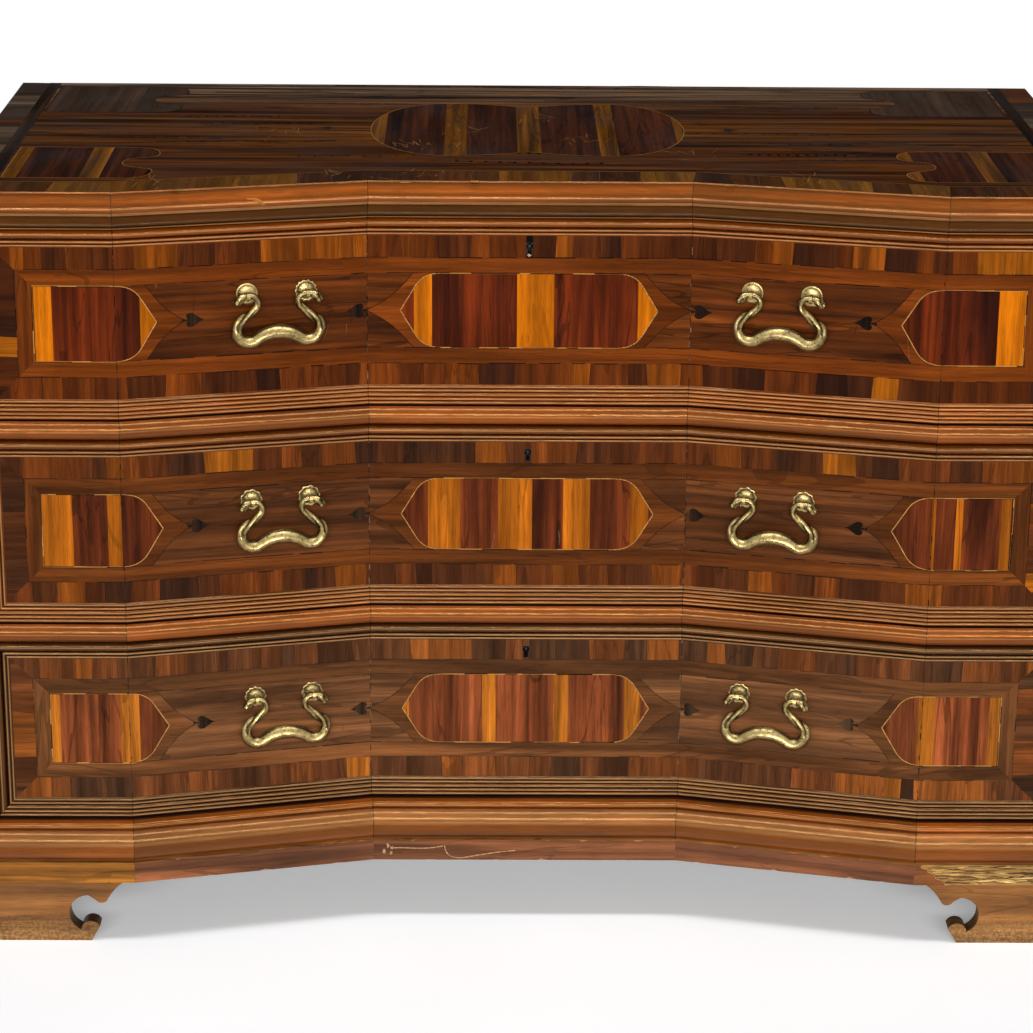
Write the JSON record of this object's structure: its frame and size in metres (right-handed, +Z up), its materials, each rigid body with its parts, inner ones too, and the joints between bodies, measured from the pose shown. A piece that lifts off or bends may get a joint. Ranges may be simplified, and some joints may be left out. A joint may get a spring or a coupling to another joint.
{
  "type": "bombe chest",
  "caption": "Low walnut chest of drawers with a concave faceted front, reeded mouldings, geometric inlay, brass serpent bails and scroll-cut bracket feet.",
  "frame": {"origin": "on the floor, under the middle of the box round the whole chest", "axes": "X from left to right, Y from the front to the back, Z up"},
  "size_m": [1.368, 0.659, 0.938],
  "materials": {
    "walnut_veneer": "inlaid, wax polished, worn",
    "moulding_wood": "polished to a gloss",
    "plinth_wood": "dull, rubbed",
    "foot_wood": "dull, scuffed",
    "softwood": "planed, unfinished",
    "antique_brass": "aged, dark in the recesses",
    "dark_iron": "blackened"
  },
  "bodies": {
    "carcass": {"top_panel": "walnut_veneer", "top_edge_moulding": "moulding_wood", "cove_moulding": "moulding_wood", "side_panel_left": "walnut_veneer", "side_panel_right": "walnut_veneer", "back_boards": "softwood", "bottom_board": "softwood", "top_rail": "softwood", "upper_drawer_rail": "softwood", "lower_drawer_rail": "softwood", "rail_facings": "moulding_wood", "drawer_runners": "softwood", "top_kickers": "softwood", "drawer_stops": "softwood", "plinth_frame": "plinth_wood", "base_moulding": "moulding_wood", "front_foot_left": "foot_wood", "front_foot_right": "foot_wood", "rear_foot_left": "foot_wood", "rear_foot_right": "foot_wood", "foot_glue_blocks": "softwood"},
    "lower_drawer": {"lower_drawer_front": "walnut_veneer", "lower_drawer_side_right": "softwood", "lower_drawer_side_left": "softwood", "lower_drawer_back": "softwood", "lower_drawer_bottom": "softwood", "lower_drawer_mouldings": "moulding_wood", "lower_drawer_lock_case": "dark_iron", "lower_drawer_rosettes": "antique_brass", "lower_drawer_posts": "antique_brass", "lower_drawer_post_nuts": "dark_iron"},
    "lower_drawer_bail_left": {"lower_drawer_bail_left": "antique_brass"},
    "lower_drawer_bail_right": {"lower_drawer_bail_right": "antique_brass"},
    "lower_drawer_lock_bolt": {"lower_drawer_lock_bolt": "dark_iron"},
    "middle_drawer": {"middle_drawer_front": "walnut_veneer", "middle_drawer_side_right": "softwood", "middle_drawer_side_left": "softwood", "middle_drawer_back": "softwood", "middle_drawer_bottom": "softwood", "middle_drawer_mouldings": "moulding_wood", "middle_drawer_lock_case": "dark_iron", "middle_drawer_rosettes": "antique_brass", "middle_drawer_posts": "antique_brass", "middle_drawer_post_nuts": "dark_iron"},
    "middle_drawer_bail_left": {"middle_drawer_bail_left": "antique_brass"},
    "middle_drawer_bail_right": {"middle_drawer_bail_right": "antique_brass"},
    "middle_drawer_lock_bolt": {"middle_drawer_lock_bolt": "dark_iron"},
    "upper_drawer": {"upper_drawer_front": "walnut_veneer", "upper_drawer_side_right": "softwood", "upper_drawer_side_left": "softwood", "upper_drawer_back": "softwood", "upper_drawer_bottom": "softwood", "upper_drawer_mouldings": "moulding_wood", "upper_drawer_lock_case": "dark_iron", "upper_drawer_rosettes": "antique_brass", "upper_drawer_posts": "antique_brass", "upper_drawer_post_nuts": "dark_iron"},
    "upper_drawer_bail_left": {"upper_drawer_bail_left": "antique_brass"},
    "upper_drawer_bail_right": {"upper_drawer_bail_right": "antique_brass"},
    "upper_drawer_lock_bolt": {"upper_drawer_lock_bolt": "dark_iron"}
  },
  "joints": [
    {"name": "lower_drawer_slide", "type": "slide", "parent": "carcass", "child": "lower_drawer", "axis": [0, -1, 0], "range_m": [0, 0.42]},
    {"name": "lower_drawer_bail_left_swing", "type": "hinge", "parent": "lower_drawer", "child": "lower_drawer_bail_left", "pos_m": [-0.29323, -0.26343, 0.299], "axis": [-0.9729, -0.2313, 0], "range_deg": [-2, 170]},
    {"name": "lower_drawer_bail_right_swing", "type": "hinge", "parent": "lower_drawer", "child": "lower_drawer_bail_right", "pos_m": [0.29323, -0.26343, 0.299], "axis": [-0.9729, 0.2313, 0], "range_deg": [-2, 170]},
    {"name": "lower_drawer_lock_bolt_throw", "type": "slide", "parent": "lower_drawer", "child": "lower_drawer_lock_bolt", "axis": [0, 0, 1], "range_m": [0, 0.012]},
    {"name": "middle_drawer_slide", "type": "slide", "parent": "carcass", "child": "middle_drawer", "axis": [0, -1, 0], "range_m": [0, 0.42]},
    {"name": "middle_drawer_bail_left_swing", "type": "hinge", "parent": "middle_drawer", "child": "middle_drawer_bail_left", "pos_m": [-0.29323, -0.26343, 0.5525], "axis": [-0.9729, -0.2313, 0], "range_deg": [-2, 170]},
    {"name": "middle_drawer_bail_right_swing", "type": "hinge", "parent": "middle_drawer", "child": "middle_drawer_bail_right", "pos_m": [0.29323, -0.26343, 0.5525], "axis": [-0.9729, 0.2313, 0], "range_deg": [-2, 170]},
    {"name": "middle_drawer_lock_bolt_throw", "type": "slide", "parent": "middle_drawer", "child": "middle_drawer_lock_bolt", "axis": [0, 0, 1], "range_m": [0, 0.012]},
    {"name": "upper_drawer_slide", "type": "slide", "parent": "carcass", "child": "upper_drawer", "axis": [0, -1, 0], "range_m": [0, 0.42]},
    {"name": "upper_drawer_bail_left_swing", "type": "hinge", "parent": "upper_drawer", "child": "upper_drawer_bail_left", "pos_m": [-0.29323, -0.26343, 0.806], "axis": [-0.9729, -0.2313, 0], "range_deg": [-2, 170]},
    {"name": "upper_drawer_bail_right_swing", "type": "hinge", "parent": "upper_drawer", "child": "upper_drawer_bail_right", "pos_m": [0.29323, -0.26343, 0.806], "axis": [-0.9729, 0.2313, 0], "range_deg": [-2, 170]},
    {"name": "upper_drawer_lock_bolt_throw", "type": "slide", "parent": "upper_drawer", "child": "upper_drawer_lock_bolt", "axis": [0, 0, 1], "range_m": [0, 0.012]}
  ]
}
